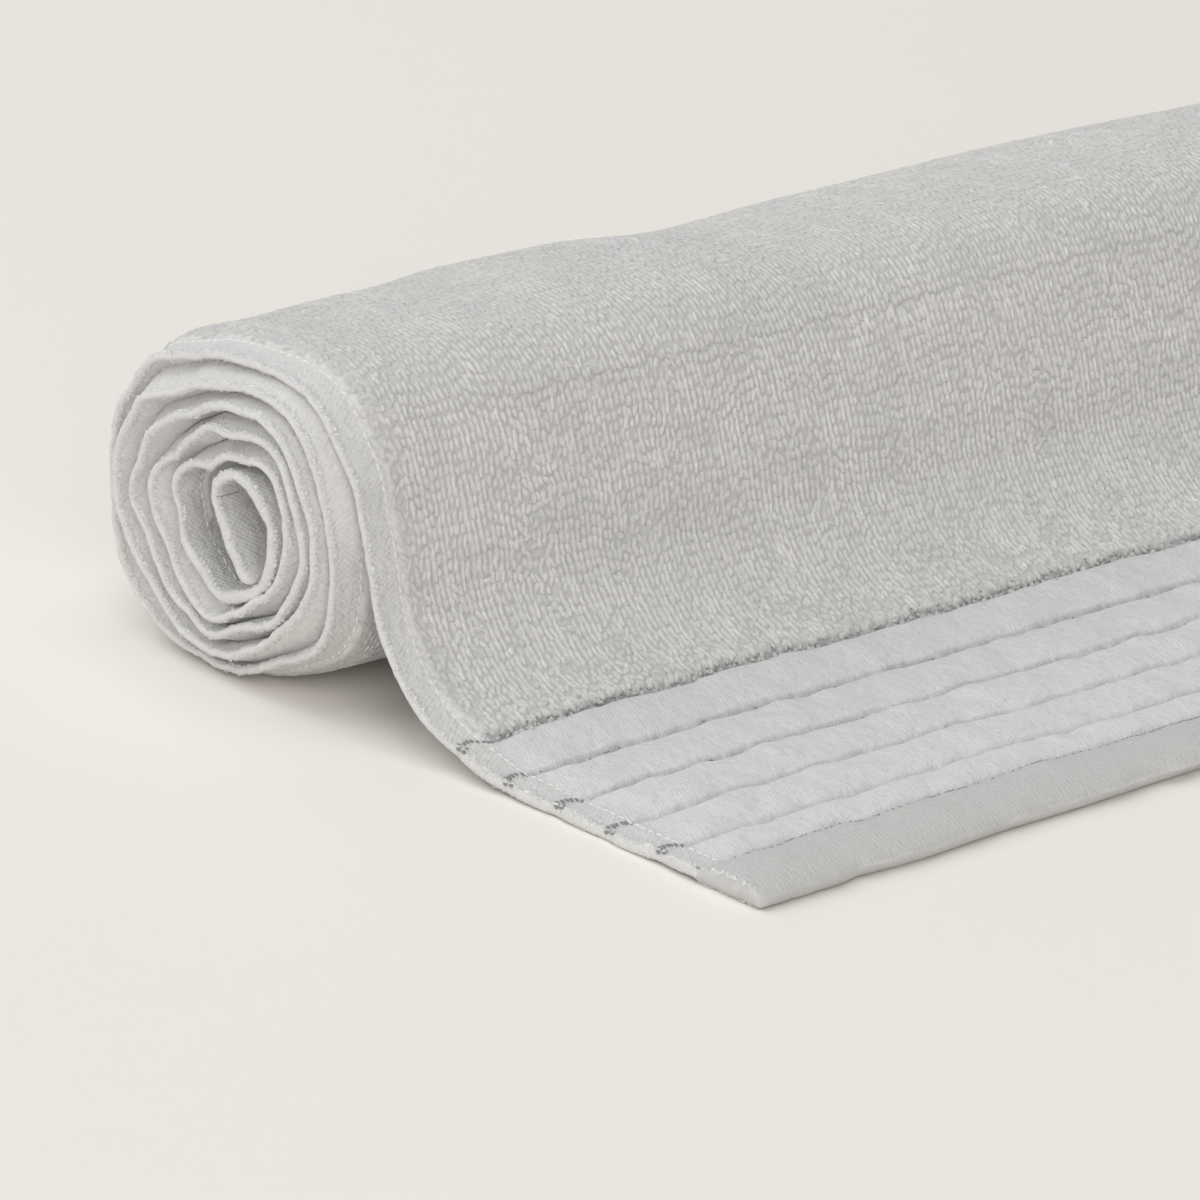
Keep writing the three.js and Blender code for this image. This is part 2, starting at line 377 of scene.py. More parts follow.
def flatness(along):
    """How much a place belongs to the part that lies on the table, 1 to 0."""
    return 1 - smoothstep(*LIFT_OFF, along)


# The cloth's thickness and its fine relief


def zone_thickness(along, across):
    """The cloth's thickness by zone, with the sunk lines but without its rounded edges."""
    from_hem, from_side = from_nearest_hem(along), from_nearest_side(across)
    in_border = from_hem < BORDER_DEPTH
    pile = PILE_WOUND + (PILE_LOOSE - PILE_WOUND) * flatness(along)
    body = np.where(in_border, BAND_THICK, pile)
    nearest = np.min([np.abs(from_hem - place) for place in BORDER_LINES], axis=0)
    body = LINE_THICK + (body - LINE_THICK) * smoothstep(0, LINE_HALF, nearest)
    slope_end = SIDE_HEM + np.where(in_border, BAND_SLOPE, PILE_SLOPE)
    side = smoothstep(SIDE_HEM - 0.8, slope_end, from_side)
    hem_body = np.where(in_border, np.minimum(body, BAND_THICK_AT_SIDE), SIDE_HEM_THICK)
    body = hem_body + (body - hem_body) * side
    full = np.where(is_outer_half(along), END_HEM_THICK, INNER_HEM_THICK)
    hem_thick = full * (0.9 + 0.1 * smoothstep(0, 12, from_side))
    return body + (hem_thick - body) * end_hem_share(from_hem)


def edge_rounding(along, across, side):
    """The share of the thickness that is left at the rounded hem edges. The end hem rolls over
    slowly on its upper face and quickly below."""
    from_hem, from_side = from_nearest_hem(along), from_nearest_side(across)
    is_outer = is_outer_half(along)
    in_hem = end_hem_share(from_hem) * is_outer
    roll_over = np.where(is_outer & (side > 0), END_HEM_FULLEST, 2.6)
    hem_part = np.clip(from_hem / roll_over, 0, 1)
    side_part = np.clip(from_side / (SIDE_HEM_THICK / 2 + 1.4 * in_hem), 0, 1)
    hem_round = np.sqrt(1 - (1 - hem_part) ** 2)
    side_round = np.sqrt(1 - (1 - side_part) ** 2)
    return np.maximum(np.minimum(hem_round, side_round), 0.04)


def band_relief(along, across):
    """Puffs of the border's bands and the small tucks that cross them."""
    from_hem, from_side = from_nearest_hem(along), from_nearest_side(across)
    relief = np.zeros(np.broadcast(along, across).shape)
    fullness = 1 + uneven(BAND_FULLNESS, across, along)
    for near, far in zip(BORDER_LINES[:-1], BORDER_LINES[1:]):
        part = (from_hem - near) / (far - near)
        inside = (part > 0) & (part < 1)
        puff = 1 - np.abs(2 * np.clip(part, 0, 1) - 1) ** 2.3
        relief = relief + inside * BAND_PUFF * puff * fullness
    in_bands = smoothstep(END_HEM, END_HEM + 4, from_hem)
    in_bands = in_bands * smoothstep(BORDER_DEPTH, BORDER_DEPTH - 4, from_hem)
    relief = relief + in_bands * uneven(BAND_TUCKS, across, along)
    return relief * (0.4 + 0.6 * smoothstep(SIDE_HEM - 2, SIDE_HEM + 12, from_side))


def hem_relief(along, across):
    """The rolled end hem: fullest near its outer edge, with soft pulls from its stitching."""
    from_hem = from_nearest_hem(along)
    inside = smoothstep(END_HEM, END_HEM - 4, from_hem) * is_outer_half(along)
    slope = -1.2 * smoothstep(END_HEM_FULLEST, END_HEM, from_hem)
    pulls = uneven(HEM_PULLS, across, along)
    return inside * (slope + pulls * smoothstep(0, 5, from_hem))


def face_height(along, across, side, sunk):
    """How far a face of the cloth lies from the cloth's middle. sunk lowers the pile's ground,
    and deep between the turns the faces that meet there close the room between them."""
    from_hem, from_side = from_nearest_hem(along), from_nearest_side(across)
    turn = turn_at(along)
    height = zone_thickness(along, across) / 2
    if side > 0:
        height = height + band_relief(along, across) + hem_relief(along, across)
        inner = smoothstep(1.0, 1.05, turn) * (turn < LAST_WHOLE_TURN)
    else:
        inner = (turn > 0.02) * smoothstep(LAST_WHOLE_TURN - 1, LAST_WHOLE_TURN - 1.05, turn)
    pile = smoothstep(SIDE_HEM, SIDE_HEM + 2, from_side)
    pile = pile * smoothstep(BORDER_DEPTH + 0.5, BORDER_DEPTH + 3.0, from_hem)
    height = height - sunk * pile * np.where(inner > 0.5, smoothstep(40, 20, from_side), 1.0)
    fill = inner * smoothstep(*FILLED_FROM, from_side)
    height = height + fill * (room_to_neighbour(turn, across, side) - FILL_GAP - height)
    return height * edge_rounding(along, across, side)


def wander(along, across):
    """How far the border's lines and the hem's edge stray along the cloth."""
    reach = smoothstep(175, 140, along)
    slow = 1.1 * soft_noise(across / 62.0, along / 55.0 + 3.1, 31)
    quick = 0.8 * soft_noise(across / 13.0, along / 17.0, 32)
    fine = 0.55 * soft_noise(across / 5.0, along / 9.0, 33)
    return reach * (slow + quick + fine)


def side_drift(along, across):
    """How far the selvedge strays inward: it isn't cut dead straight, and each sunk line pinches it."""
    from_hem, from_side = from_nearest_hem(along), from_nearest_side(across)
    stray = 0.45 * soft_noise(along / 23.0, 0.5, 41) + 0.25 * soft_noise(along / 6.0, 2.5, 42)
    for line in BORDER_LINES[1:]:
        stray = stray + 0.6 * np.exp(-(((from_hem - line) / 3.5) ** 2))
    inward = np.where(across < CLOTH_WIDTH / 2, 1.0, -1.0)
    return inward * stray * np.exp(-((from_side / 22.0) ** 2))


def corner_inset(along, across):
    """How far the end hem's edge is set back at its rounded corners."""
    from_hem, from_side = from_nearest_hem(along), from_nearest_side(across)
    short = CORNER_ROUND - np.clip(from_side, 0, CORNER_ROUND)
    inset = CORNER_ROUND - np.sqrt(CORNER_ROUND**2 - short**2)
    return inset * smoothstep(12, 0, from_hem)


def cloth_points(along, across, side, lift=0.0, sunk=SUNK_GROUND):
    """Places on a face of the cloth, in metres. side is 1 for the face that shows and -1 for the
    back, and lift is how far above that face, in millimetres."""
    along, across = np.broadcast_arrays(np.asarray(along, float), np.asarray(across, float))
    from_side = from_nearest_side(across)
    inset = corner_inset(along, across) * np.where(is_outer_half(along), 1, -1)
    shifted = np.minimum(along + wander(along, across) + inset, CLOTH_LENGTH)
    back, up, normal_back, normal_up = (
        np.interp(shifted, LINE.along, values)
        for values in (LINE.back, LINE.up, LINE.normal_back, LINE.normal_up)
    )
    back = back + np.minimum(shifted, 0)
    up = up + flatness(along) * (zone_thickness(along, across) - PILE_LOOSE) / 2
    up = up + read_table(EDGE_LIFT, along) * np.exp(-((from_side / EDGE_LIFT_REACH) ** 2))

    ripple = 0.42 * soft_noise(along / 3.6, 7.5, 51) + 0.6 * soft_noise(along / 9.0, 1.5, 52)
    ripple = ripple * smoothstep(150, 190, along) * np.exp(-((from_side / 7.0) ** 2))
    push = push_at(turn_at(along), across) + ripple
    height = side * (face_height(along, across, side, sunk) + lift) + push
    x = towel_low.x + (MOST_OUT + across - read_table(STAND_OUT, along) + side_drift(along, across)) * MM
    y = towel_low.y + (back + normal_back * height) * MM
    z = np.maximum((up + normal_up * height) * MM, 0.0)
    return np.stack([x, y, z], axis=-1)


def cloth_axes(along, across, side):
    """Unit vectors at places on a face: across the cloth, along it, and out of it. The slope
    across is read no nearer to a selvedge than its rounding reaches."""
    step = 0.8
    rounding = 1.2

    def way(start, end):
        return cloth_points(*end, side, sunk=0) - cloth_points(*start, side, sunk=0)

    def unit(vectors):
        return vectors / np.maximum(np.linalg.norm(vectors, axis=-1, keepdims=True), 1e-9)

    run = unit(way((along - step, across), (along + step, across)))
    inner = np.clip(across, rounding + step, CLOTH_WIDTH - rounding - step)
    wide = way((along, inner - step), (along, inner + step))
    wide = unit(wide - (wide * run).sum(-1, keepdims=True) * run)
    return wide, run, side * np.cross(wide, run)


# Meshes


def mesh_piece(name, corners, faces, material, uv=None):
    """A finished piece of the towel from its corner places and faces of equal size."""
    faces = np.asarray(faces)
    mesh = bpy.data.meshes.new(name)
    mesh.vertices.add(len(corners))
    mesh.vertices.foreach_set("co", np.asarray(corners, np.float32).ravel())
    mesh.loops.add(faces.size)
    mesh.loops.foreach_set("vertex_index", faces.astype(np.int32).ravel())
    mesh.polygons.add(len(faces))
    mesh.polygons.foreach_set("loop_start", np.arange(0, faces.size, faces.shape[1], dtype=np.int32))
    if uv is not None:
        layer = mesh.uv_layers.new(name="Cloth")
        layer.uv.foreach_set("vector", np.asarray(uv, np.float32)[faces.ravel()].ravel())
    mesh.update(calc_edges=True)
    mesh.validate()
    mesh.shade_smooth()
    mesh.materials.append(material)
    piece = bpy.data.objects.new(name, mesh)
    bpy.context.collection.objects.link(piece)
    return piece


def ride_on_root(piece):
    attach(piece, "root")


def repeat_form(form, centres, axes, sizes, spin, lean=0.0):
    """Copies of a small form: one for each centre, turned by spin in the cloth's face, leaned
    sideways, and sized across, along and out of it."""
    wide, run, out = axes
    cosine, sine = np.cos(spin)[:, None], np.sin(spin)[:, None]
    first = wide * cosine + run * sine
    second = run * cosine - wide * sine
    scaled = form[None, :, :] * sizes[:, None, :]
    scaled[:, :, 0] += np.asarray(lean).reshape(-1, 1) * np.maximum(scaled[:, :, 2], 0)
    return (
        centres[:, None, :]
        + scaled[:, :, 0:1] * first[:, None, :]
        + scaled[:, :, 1:2] * second[:, None, :]
        + scaled[:, :, 2:3] * out[:, None, :]
    )


def lay_forms(name, form, centres, axes, sizes, spin, material, lean=0.0):
    """One piece of many copies of a small form, none of them below the table."""
    corners, triangles = form
    laid = repeat_form(corners, centres, axes, sizes, spin, lean)
    laid[..., 2] = np.maximum(laid[..., 2], 0)
    faces = triangles + len(corners) * np.arange(len(centres))[:, None, None]
    ride_on_root(mesh_piece(name, laid.reshape(-1, 3), faces.reshape(-1, 3), material))


def small_dome(segments, rings):
    """The upper half of a low round bead, of unit size: its corners and its triangles. The cut
    lists the triangles in no fixed order, so they are put in one."""
    deselect()
    bpy.ops.mesh.primitive_uv_sphere_add(segments=segments, ring_count=2 * rings, radius=1)
    bead = bpy.context.active_object
    bpy.ops.object.mode_set(mode="EDIT")
    bpy.ops.mesh.select_all(action="SELECT")
    bpy.ops.mesh.bisect(plane_co=(0, 0, 0.02), plane_no=(0, 0, 1), clear_inner=True)
    bpy.ops.mesh.select_all(action="SELECT")
    bpy.ops.mesh.quads_convert_to_tris()
    bpy.ops.object.mode_set(mode="OBJECT")
    mesh = bead.data
    corners = np.array([v.co for v in mesh.vertices])
    faces = []
    for polygon in mesh.polygons:
        around = list(polygon.vertices)
        first = around.index(min(around))
        faces.append(around[first:] + around[:first])
    bpy.data.objects.remove(bead)
    bpy.data.meshes.remove(mesh)
    return corners, np.array(sorted(faces))


# Materials


# How far light spreads inside cotton, in metres
SOFT_DEPTH = 0.003
# How uneven colours are: scale and depth of patches, then scale and depth of fibres
BAND_MOTTLE = (55.0, 0.08, 420.0, 0.12)
SIDE_HEM_MOTTLE = (40.0, 0.05, 700.0, 0.16)
END_HEM_MOTTLE = (50.0, 0.06, 800.0, 0.08)
THREAD_MOTTLE = (400.0, 0.15, 2500.0, 0.2)
TABLE_MOTTLE = (1.5, 0.01, 40.0, 0.004)
# Weaves: thread pitch across and along, slant, stray, lumps and depth
BAND_WEAVE = (0.0013, 0.0018, 0.5, 0.002, 1.7, 0.0005)
SIDE_HEM_WEAVE = (0.0022, 0.0017, 0.0, 0.0012, 1.6, 0.0006)
END_HEM_TWILL = (0.0016, 0.0034, 0.4, 0.0016, 0.5, 0.00045)


def new_material(name, color, roughness, sheen, soft=0.0):
    material = bpy.data.materials.new(name)
    material.use_nodes = True
    shader = material.node_tree.nodes["Principled BSDF"]
    shader.inputs["Base Color"].default_value = (*color, 1)
    shader.inputs["Roughness"].default_value = roughness
    shader.inputs["Sheen Weight"].default_value = sheen
    shader.inputs["Sheen Roughness"].default_value = 0.5
    shader.inputs["Specular IOR Level"].default_value = 0.2
    if soft:
        shader.subsurface_method = "BURLEY"
        shader.inputs["Subsurface Weight"].default_value = 0.6
        shader.inputs["Subsurface Radius"].default_value = (1, 1, 1)
        shader.inputs["Subsurface Scale"].default_value = soft
    return material, material.node_tree, shader


def group_tree(name, sockets_in, sockets_out):
    """An empty node group with its named inputs and outputs."""
    tree = bpy.data.node_groups.new(name, "ShaderNodeTree")
    for label, kind, value in sockets_in:
        socket = tree.interface.new_socket(name=label, in_out="INPUT", socket_type=kind)
        if value is not None:
            socket.default_value = value
    for label, kind in sockets_out:
        tree.interface.new_socket(name=label, in_out="OUTPUT", socket_type=kind)
    return tree, tree.nodes.new("NodeGroupInput"), tree.nodes.new("NodeGroupOutput")


def math_node(tree, operation, *values, kind="ShaderNodeMath"):
    """One step of a sum; its values are numbers, vectors or the outputs of other nodes."""
    node = tree.nodes.new(kind)
    node.operation = operation
    for socket, value in zip(node.inputs, values):
        if isinstance(value, bpy.types.NodeSocket):
            tree.links.new(value, socket)
        else:
            socket.default_value = value
    return node.outputs[0]


def split_place(tree, place):
    node = tree.nodes.new("ShaderNodeSeparateXYZ")
    tree.links.new(place, node.inputs[0])
    return node.outputs["X"], node.outputs["Y"]


def noise_node(tree, place, scale, detail=2):
    """Soft random shading at a place. scale is a number or the output of another node."""
    node = tree.nodes.new("ShaderNodeTexNoise")
    tree.links.new(place, node.inputs["Vector"])
    node.inputs["Detail"].default_value = detail
    if isinstance(scale, bpy.types.NodeSocket):
        tree.links.new(scale, node.inputs["Scale"])
    else:
        node.inputs["Scale"].default_value = scale
    return node


def weave_group():
    """Threads over and under each other: the height of a weave, for given thread pitches. A
    slant other than 0 sets each thread row over by that share, as in a twill, stray is how far
    the threads wander, and lumps is how much the cloth puckers."""
    name = "Weave Threads"
    if name in bpy.data.node_groups:
        return bpy.data.node_groups[name]
    tree, given, result = group_tree(
        name,
        [("Place", "NodeSocketVector", None), ("Pitch Across", "NodeSocketFloat", 0.001),
         ("Pitch Along", "NodeSocketFloat", 0.001), ("Slant", "NodeSocketFloat", 0.0),
         ("Stray", "NodeSocketFloat", 0.0), ("Lumps", "NodeSocketFloat", 0.0)],
        [("Height", "NodeSocketFloat")],
    )
    place = given.outputs["Place"]
    bend = noise_node(tree, place, 220).outputs["Color"]
    spread = tree.nodes.new("ShaderNodeCombineXYZ")
    for axis in ("X", "Y"):
        tree.links.new(given.outputs["Stray"], spread.inputs[axis])
    kind = "ShaderNodeVectorMath"
    centred = math_node(tree, "SUBTRACT", bend, (0.5, 0.5, 0.5), kind=kind)
    strayed = math_node(tree, "MULTIPLY_ADD", centred, spread.outputs[0], place, kind=kind)
    across, along = split_place(tree, strayed)
    rows = math_node(tree, "DIVIDE", along, given.outputs["Pitch Along"])
    columns = math_node(tree, "DIVIDE", across, given.outputs["Pitch Across"])
    columns = math_node(tree, "MULTIPLY_ADD", rows, given.outputs["Slant"], columns)
    up_down = math_node(tree, "SINE", math_node(tree, "MULTIPLY", columns, 2 * math.pi))
    over = math_node(tree, "SINE", math_node(tree, "MULTIPLY", rows, 2 * math.pi))
    crossing = math_node(tree, "MULTIPLY", up_down, over)
    fibres = noise_node(tree, place, 620, 3).outputs["Fac"]
    height = math_node(tree, "MULTIPLY_ADD", crossing, 0.16, fibres)
    lumps = noise_node(tree, place, 270, 1).outputs["Fac"]
    height = math_node(tree, "MULTIPLY_ADD", lumps, given.outputs["Lumps"], height)
    tree.links.new(height, result.inputs["Height"])
    return tree


def mottle_group():
    """Soft uneven shading of cotton: a value around 1 that lightens and darkens a colour."""
    name = "Cotton Mottle"
    if name in bpy.data.node_groups:
        return bpy.data.node_groups[name]
    tree, given, result = group_tree(
        name,
        [("Place", "NodeSocketVector", None), ("Color", "NodeSocketColor", (0.7, 0.7, 0.7, 1)),
         ("Patch Scale", "NodeSocketFloat", 60.0), ("Patch Depth", "NodeSocketFloat", 0.06),
         ("Fibre Scale", "NodeSocketFloat", 900.0), ("Fibre Depth", "NodeSocketFloat", 0.06)],
        [("Color", "NodeSocketColor")],
    )
    total = 1.0
    for scale, depth in (("Patch Scale", "Patch Depth"), ("Fibre Scale", "Fibre Depth")):
        noise = noise_node(tree, given.outputs["Place"], given.outputs[scale]).outputs["Fac"]
        centred = math_node(tree, "SUBTRACT", noise, 0.5)
        total = math_node(tree, "MULTIPLY_ADD", centred, given.outputs[depth], total)
    scaled = tree.nodes.new("ShaderNodeVectorMath")
    scaled.operation = "SCALE"
    tree.links.new(given.outputs["Color"], scaled.inputs[0])
    tree.links.new(total, scaled.inputs["Scale"])
    tree.links.new(scaled.outputs[0], result.inputs["Color"])
    return tree


def line_grey_and_shade_group():
    """A mask of one sunk line of the border, broken up where its grey thread dips out of sight; it paints
    the grey thread together with painted shade in the sunk groove.
    """
    name = "Border Line"
    if name in bpy.data.node_groups:
        return bpy.data.node_groups[name]
    tree, given, result = group_tree(
        name,
        [("Place", "NodeSocketVector", None), ("From Hem", "NodeSocketFloat", 0.05),
         ("Half Width", "NodeSocketFloat", 0.0008), ("Strength", "NodeSocketFloat", 0.5)],
        [("Mask", "NodeSocketFloat")],
    )
    _, along = split_place(tree, given.outputs["Place"])
    from_far_hem = math_node(tree, "SUBTRACT", CLOTH_LENGTH * MM, along)
    from_hem = math_node(tree, "MINIMUM", along, from_far_hem)
    away = math_node(tree, "SUBTRACT", from_hem, given.outputs["From Hem"])
    away = math_node(tree, "ABSOLUTE", away)
    share = math_node(tree, "DIVIDE", away, given.outputs["Half Width"])
    core = math_node(tree, "SUBTRACT", 1.0, math_node(tree, "MINIMUM", share, 1.0))
    breaks = noise_node(tree, given.outputs["Place"], 260, 3).outputs["Fac"]
    kept = math_node(tree, "MULTIPLY_ADD", breaks, 3.0, -0.85)
    kept = math_node(tree, "MINIMUM", math_node(tree, "MAXIMUM", kept, 0.0), 1.0)
    mask = math_node(tree, "MULTIPLY", core, kept)
    mask = math_node(tree, "MULTIPLY", mask, given.outputs["Strength"])
    tree.links.new(mask, result.inputs["Mask"])
    return tree


def add_group(tree, group, place, **values):
    node = tree.nodes.new("ShaderNodeGroup")
    node.node_tree = group
    tree.links.new(place, node.inputs["Place"])
    for label, value in values.items():
        node.inputs[label.replace("_", " ")].default_value = value
    return node.outputs[0]


def cloth_place(tree):
    """The piece's own flat map of the cloth, in metres: across, then along."""
    place = tree.nodes.new("ShaderNodeUVMap")
    place.uv_map = "Cloth"
    return place.outputs["UV"]


def object_place(tree):
    return tree.nodes.new("ShaderNodeTexCoord").outputs["Object"]


def add_mottle(tree, place, color, patch_scale, patch_depth, fibre_scale, fibre_depth):
    """A colour made uneven the way cotton is, in soft patches and in its fibres."""
    return add_group(tree, mottle_group(), place, Color=(*color, 1), Patch_Scale=patch_scale,
                     Patch_Depth=patch_depth, Fibre_Scale=fibre_scale, Fibre_Depth=fibre_depth)


def finish_shader(tree, shader, color, height, depth):
    """Give the shader its colour and its fine relief."""
    tree.links.new(color, shader.inputs["Base Color"])
    bump = tree.nodes.new("ShaderNodeBump")
    bump.inputs["Distance"].default_value = depth
    tree.links.new(height, bump.inputs["Height"])
    tree.links.new(bump.outputs["Normal"], shader.inputs["Normal"])


def woven_material(name, color, weave, mottle, lines=()):
    """A smooth woven zone of the towel, hem or band. weave is the thread pitch across and along,
    the slant, the stray, the lumps and the depth; mottle is the scale and depth of patches, then
    of fibres; and lines are the grey lines in it, grey thread with painted shade of the sunk groove:
    from the hem, half width, strength."""
    grey = bpy.context.scene.towel_colours.grey_thread
    pitch_across, pitch_along, slant, stray, lumps, depth = weave
    material, tree, shader = new_material(name, color, 0.88, 0.08, SOFT_DEPTH)
    place = cloth_place(tree)
    finish = add_mottle(tree, place, color, *mottle)
    # Each line mixes in grey: partly the grey thread, partly painted shade of the sunk groove
    for from_hem, half_width, strength in lines:
        line = add_group(tree, line_grey_and_shade_group(), place, From_Hem=from_hem * MM, Strength=strength,
                         Half_Width=half_width * MM)
        mix = tree.nodes.new("ShaderNodeMix")
        mix.data_type = "RGBA"
        tree.links.new(line, mix.inputs["Factor"])
        tree.links.new(finish, mix.inputs["A"])
        mix.inputs["B"].default_value = (*grey, 1)
        finish = mix.outputs["Result"]
    threads = add_group(tree, weave_group(), place, Pitch_Across=pitch_across,
                        Pitch_Along=pitch_along, Slant=slant, Stray=stray, Lumps=lumps)
    finish_shader(tree, shader, finish, threads, depth)
    return material


def pile_material(name, color, scale, depth):
    """Cotton loops or the ground between them: matt, faintly uneven yarn."""
    material, tree, shader = new_material(name, color, 0.92, 0.04, SOFT_DEPTH)
    place = object_place(tree)
    shade = add_mottle(tree, place, color, 70.0, 0.05, scale, 0.10)
    fuzz = noise_node(tree, place, scale * 1.7, 3).outputs["Fac"]
    finish_shader(tree, shader, shade, fuzz, depth)
    return material


def thread_material(name, color, sheen):
    """Twisted sewing or weaving thread."""
    material, tree, shader = new_material(name, color, 0.75, sheen)
    place = object_place(tree)
    shade = add_mottle(tree, place, color, *THREAD_MOTTLE)
    twist = noise_node(tree, place, 3000).outputs["Fac"]
    finish_shader(tree, shader, shade, twist, 0.00008)
    return material


# The sheet of cloth


# Steps between the sheet's rows in the bands and in the outer turn, how many rows the rest of
# the roll has, and how far from a border these begin and end
BAND_ROW_STEP = 2.2
OUTER_ROW_STEP = 2.25
INNER_ROWS = 300
ROW_MARGIN = 3.5
# The near part of the roll, which bulges most
NEAR_PART = 250


def cloth_rows():
    """Places along the cloth for the sheet's rows: those of the flat end's border, close at its
    hem and sunk lines, then those of the outer turn, then the rest, deeper in the roll."""
    edge = [0, 0.12, 0.45, 1.0, 1.8, 2.8, 4.2, 6, 8, 10.5, 13, 15.5, 18, 20, 21.6]
    at_line = [-2.1, -1.3, -0.6, 0, 0.6, 1.3, 2.1]
    border = edge + [BORDER_DEPTH + step for step in at_line]
    for near, far in zip(BORDER_LINES, BORDER_LINES[1:]):
        border += [near + step for step in at_line]
        border += list(np.arange(near + 3, far - 2.4, BAND_ROW_STEP))
    border = np.array(sorted(border))
    margin = BORDER_DEPTH + ROW_MARGIN
    outer = np.arange(margin, OUTER_TURN_END + 6, OUTER_ROW_STEP)
    inner = np.linspace(outer[-1] + 2.4, CLOTH_LENGTH - margin, INNER_ROWS)
    coarse = np.array([place for i, place in enumerate(border) if i % 2 == 0 or place < 8])
    return border, outer, np.concatenate([inner, CLOTH_LENGTH - coarse[::-1]])


def cloth_columns(middle_count, widest_near, widest_far):
    """Places across the cloth for the sheet's columns: close at the side hems, and nowhere further
    apart than is given for the near part, where the roll bulges most, and for the far part."""
    edge = [0, 0.1, 0.35, 0.8, 1.3, 2.4, 4, 6, 8, 9.4, 10.3, 11.0, 11.6, 12.4, 14, 18, 24, 31, 40, 52]
    middle = np.linspace(66, CLOTH_WIDTH - 66, middle_count)
    fixed = np.concatenate([edge, middle, CLOTH_WIDTH - np.array(edge[::-1])])
    places = [fixed[:1]]
    for start, end in zip(fixed, fixed[1:]):
        widest = widest_near if start < NEAR_PART else widest_far
        parts = max(1, math.ceil((end - start) / widest))
        places.append(start + (end - start) * np.arange(1, parts + 1) / parts)
    return np.concatenate(places)


def zip_rows(near, near_places, far, far_places):
    """Triangles that join two rows of corners, whose places need not agree."""
    faces = []
    i, j = 0, 0
    while i < len(near) - 1 or j < len(far) - 1:
        if j == len(far) - 1:
            near_next = True
        elif i == len(near) - 1:
            near_next = False
        else:
            near_next = near_places[i] + near_places[i + 1] <= far_places[j] + far_places[j + 1]
        if near_next:
            faces.append((near[i], near[i + 1], far[j]))
            i += 1
        else:
            faces.append((near[i], far[j + 1], far[j]))
            j += 1
    return faces


def sheet_mesh():
    """The closed sheet's corners, its triangles and its flat map. The face that shows has fine
    columns in the border, for its tucks, and close ones in the outer turn, for its bulges. All
    the rest has coarse ones."""
    border, outer, inner = cloth_rows()
    fine, bulged = cloth_columns(19, 2.9, 2.9), cloth_columns(19, 8, 16)
    coarse, hidden = cloth_columns(19, 40, 40), cloth_columns(13, 50, 50)
    rows = np.concatenate([border, outer, inner])
    corners, flat, upper, lower = [], [], [], []
    count = 0
    faces_of_cloth = ((1, upper, (fine, bulged, coarse)), (-1, lower, (coarse, hidden, hidden)))
    for side, rings, columns_of_blocks in faces_of_cloth:
        for block, columns in zip((border, outer, inner), columns_of_blocks):
            along, across = np.meshgrid(block, columns, indexing="ij")
            corners.append(cloth_points(along, across, side).reshape(-1, 3))
            flat.append(np.stack([across, along], axis=-1).reshape(-1, 2) * MM)
            places = count + np.arange(along.size).reshape(along.shape)
            rings += [(ring, columns) for ring in places]
            count += along.size
    faces = []
    for ring, (next_ring, next_columns) in zip(upper, upper[1:]):
        faces += zip_rows(*ring, next_ring, next_columns)
    for ring, (next_ring, next_columns) in zip(lower, lower[1:]):
        faces += zip_rows(next_ring, next_columns, *ring)
    near_side = [[ring[0] for ring, _ in rings] for rings in (upper, lower)]
    far_side = [[ring[-1] for ring, _ in rings] for rings in (upper, lower)]
    faces += zip_rows(near_side[0], rows, near_side[1], rows)
    faces += zip_rows(far_side[1], rows, far_side[0], rows)
    faces += zip_rows(*lower[0], *upper[0])
    faces += zip_rows(*upper[-1], *lower[-1])
    return np.concatenate(corners), np.array(faces), np.concatenate(flat)


class TOWEL_OT_cloth(bpy.types.Operator):
    """Make the sheet of cloth: pile ground, border bands, side hems and end hems"""

    bl_idname = "towel.cloth"
    bl_label = "Cloth"

    def execute(self, context):
        colours = context.scene.towel_colours
        corners, faces, uv = sheet_mesh()
        # The ground is coloured lighter than the loops' cotton: painted fill light that lifts the shade
        # between the loops
        ground = pile_material("terry_ground_painted_light", colours.ground, 1400.0, 0.00025)
        piece = mesh_piece("terry_cloth", corners, faces, ground, uv)
        # The border's lines: grey thread with painted shade of the sunk grooves
        lines = [(place, *look) for place, look in zip(BORDER_LINES, LINE_GREY_AND_SHADE)]
        for material in (
            woven_material("border_bands", colours.band, BAND_WEAVE, BAND_MOTTLE, lines),
            woven_material("side_hem_weave", colours.side_hem, SIDE_HEM_WEAVE, SIDE_HEM_MOTTLE),
            # The end hem's colour is set darker than the bands' cotton: painted shade for the rolled hem
            woven_material("end_hem_twill_painted_shade", colours.end_hem, END_HEM_TWILL, END_HEM_MOTTLE),
        ):
            piece.data.materials.append(material)
        centre = uv[faces].mean(axis=1) / MM
        from_side, from_hem = from_nearest_side(centre[:, 0]), from_nearest_hem(centre[:, 1])
        zone = np.select(
            [centre[:, 1] < END_HEM, np.minimum(from_side, from_hem) < SIDE_HEM, from_hem < END_HEM,
             from_hem < BORDER_DEPTH + LINE_HALF], [3, 2, 2, 1], 0)
        piece.data.polygons.foreach_set("material_index", zone.astype(np.int32))

        ride_on_root(piece)
        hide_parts("towel")
        return {"FINISHED"}


# The pile


